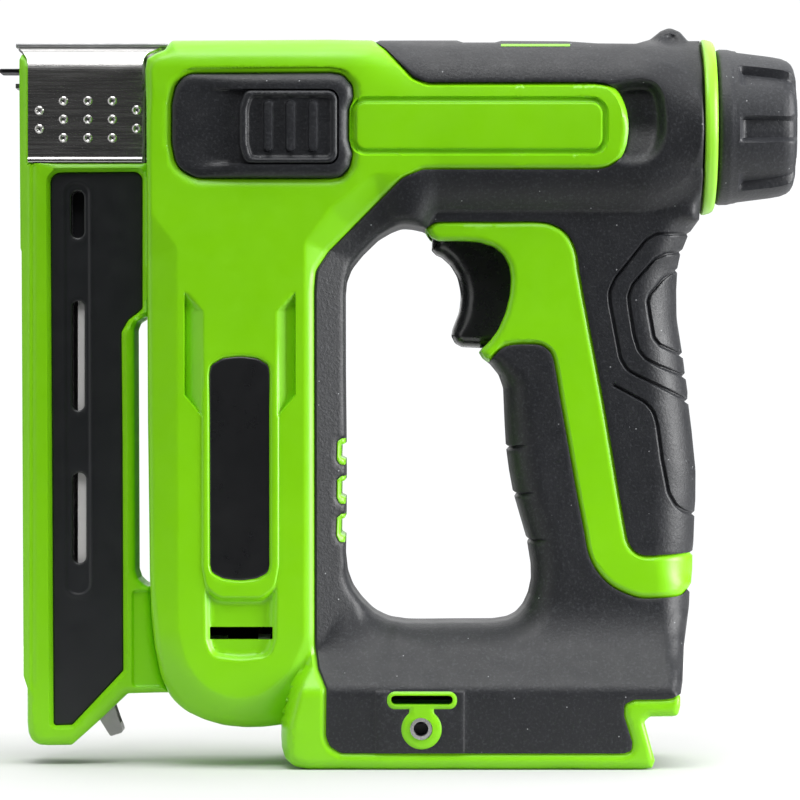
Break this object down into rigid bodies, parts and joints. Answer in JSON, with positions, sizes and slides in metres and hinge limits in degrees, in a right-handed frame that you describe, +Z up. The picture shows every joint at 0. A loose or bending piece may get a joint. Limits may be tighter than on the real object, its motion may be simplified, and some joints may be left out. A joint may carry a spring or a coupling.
{
  "type": "cordless stapler",
  "caption": "Battery powered hand stapler: pistol body with hand opening, motor housing, upright staple magazine, sheet metal nose guard, slide trigger and rear power knob.",
  "frame": {"origin": "middle of the base's underside level, under the centre of the tool's box", "axes": "-X is the nose the staple leaves from, +X the power knob, +Z up, -Y the side facing the viewer"},
  "size_m": [0.222, 0.064, 0.2049],
  "materials": {
    "green_plastic": "lime green glass-filled nylon, fine moulded grain",
    "soft_black": "charcoal soft-touch overmould, fine matte grain",
    "black_plastic": "black moulded plastic, light texture",
    "label_black": "plain black film label, bare",
    "guard_steel": "bright stainless sheet",
    "black_steel": "black oxide steel",
    "bright_steel": "ground steel",
    "spring_steel": "drawn spring wire",
    "cast_steel": "machined casting",
    "gear_steel": "hobbed steel, oiled",
    "gear_case": "die-cast aluminium",
    "motor_steel": "zinc plated drawn steel",
    "magnet": "ferrite",
    "copper": "wound copper and laminations",
    "board": "potted circuit board",
    "clear_window": "clear moulded window",
    "bumper_rubber": "moulded rubber",
    "lead_rubber": "insulated wire",
    "contact_brass": "plated contact blades"
  },
  "bodies": {
    "housing": {"contact_spring": "spring_steel", "control_board": "board", "front_bumper": "bumper_rubber", "front_frame": "bright_steel", "gearbox_case": "gear_case", "guide_rod": "bright_steel", "hook_inserts": "bright_steel", "housing_screws": "black_steel", "label_plates": "label_black", "left_housing": "green_plastic", "left_overmould": "soft_black", "left_side_pad": "black_plastic", "magazine_channel": "bright_steel", "magazine_left_cover": "green_plastic", "magazine_left_panel": "black_plastic", "magazine_right_cover": "green_plastic", "magazine_right_panel": "black_plastic", "main_spring": "spring_steel", "motor_can": "motor_steel", "motor_endcap": "black_plastic", "motor_leads": "lead_rubber", "motor_magnets": "magnet", "nose_block": "cast_steel", "nose_guard": "guard_steel", "output_bearing": "bright_steel", "power_window": "clear_window", "rear_plate": "bright_steel", "rear_ring": "green_plastic", "right_housing": "green_plastic", "right_overmould": "soft_black", "right_side_pad": "black_plastic", "ring_gear": "gear_steel", "terminal_blades": "contact_brass", "terminal_block": "black_plastic", "trigger_spring": "spring_steel", "trigger_switch": "black_plastic"},
    "driver": {"hammer": "cast_steel", "driver_blade": "bright_steel", "blade_screws": "bright_steel"},
    "output": {"planet_carrier": "cast_steel", "sector_gear": "cast_steel"},
    "planet_a": {"planet_gear_a": "gear_steel"},
    "planet_b": {"planet_gear_b": "gear_steel"},
    "planet_c": {"planet_gear_c": "gear_steel"},
    "rotor": {"armature": "copper", "sun_gear": "gear_steel"},
    "knob": {"power_knob": "black_plastic", "adjust_sleeve": "black_plastic", "knob_screw": "black_steel"},
    "preload": {"preload_nut": "black_plastic", "power_indicator": "green_plastic"},
    "trigger": {"trigger": "black_plastic"},
    "release": {"release_slide_left": "black_plastic", "release_slide_right": "black_plastic", "release_yoke": "bright_steel"},
    "contact": {"contact_foot": "black_steel"},
    "rail": {"magazine_rail": "bright_steel", "pusher_spring": "spring_steel"},
    "pusher": {"pusher": "black_plastic"},
    "latch": {"tail_latch": "bright_steel"}
  },
  "joints": [
    {"name": "driver_stroke", "type": "slide", "parent": "housing", "child": "driver", "axis": [1, 0, 0], "range_m": [0, 0.018], "stiffness_N_per_m": 1500, "springref_m": -0.006, "deforming": ["main_spring"]},
    {"name": "output_turn", "type": "hinge", "parent": "housing", "child": "output", "pos_m": [-0.041, 0, 0.12], "axis": [0, 0, 1], "range_deg": [-94.76, 0]},
    {"name": "rotor_turn", "type": "hinge", "parent": "housing", "child": "rotor", "pos_m": [-0.041, 0, 0.075], "axis": [0, 0, 1], "range_deg": [-425.91, 0]},
    {"name": "planet_a_turn", "type": "hinge", "parent": "output", "child": "planet_a", "pos_m": [-0.041, 0.0081, 0.1135], "axis": [0, 0, 1], "range_deg": [0, 265.52]},
    {"name": "planet_b_turn", "type": "hinge", "parent": "output", "child": "planet_b", "pos_m": [-0.04801, -0.00405, 0.1135], "axis": [0, 0, 1], "range_deg": [0, 265.52]},
    {"name": "planet_c_turn", "type": "hinge", "parent": "output", "child": "planet_c", "pos_m": [-0.03399, -0.00405, 0.1135], "axis": [0, 0, 1], "range_deg": [0, 265.52]},
    {"name": "knob_turn", "type": "hinge", "parent": "housing", "child": "knob", "pos_m": [0.1, 0, 0.1773], "axis": [1, 0, 0], "range_deg": [0, 270]},
    {"name": "preload_travel", "type": "slide", "parent": "housing", "child": "preload", "axis": [-1, 0, 0], "range_m": [0, 0.0046]},
    {"name": "trigger_pull", "type": "slide", "parent": "housing", "child": "trigger", "axis": [1, 0, 0], "range_m": [0, 0.006], "stiffness_N_per_m": 900, "springref_m": -0.004, "deforming": ["trigger_spring"]},
    {"name": "release_slide", "type": "slide", "parent": "housing", "child": "release", "axis": [-1, 0, 0], "range_m": [0, 0.008]},
    {"name": "contact_press", "type": "slide", "parent": "housing", "child": "contact", "axis": [1, 0, 0], "range_m": [0, 0.005], "stiffness_N_per_m": 600, "springref_m": -0.004, "deforming": ["contact_spring"]},
    {"name": "rail_pull", "type": "slide", "parent": "housing", "child": "rail", "axis": [0, 0, -1], "range_m": [0, 0.11]},
    {"name": "pusher_travel", "type": "slide", "parent": "rail", "child": "pusher", "axis": [0, 0, -1], "range_m": [0, 0.1], "stiffness_N_per_m": 60, "springref_m": -0.04, "deforming": ["pusher_spring"]},
    {"name": "latch_press", "type": "hinge", "parent": "rail", "child": "latch", "pos_m": [-0.084, 0, 0.0185], "axis": [0, 1, 0], "range_deg": [0, 12], "stiffness_Nm_per_rad": 0.2, "springref_deg": -5.73}
  ],
  "couplings": [
    {"joint": "output_turn", "follows": "driver_stroke", "rad_per_m": -90.909},
    {"joint": "rotor_turn", "follows": "driver_stroke", "rad_per_m": -409.09},
    {"joint": "planet_a_turn", "follows": "driver_stroke", "rad_per_m": 254.55},
    {"joint": "planet_b_turn", "follows": "driver_stroke", "rad_per_m": 254.55},
    {"joint": "planet_c_turn", "follows": "driver_stroke", "rad_per_m": 254.55},
    {"joint": "preload_travel", "follows": "knob_turn", "m_per_rad": 0.00095493}
  ]
}
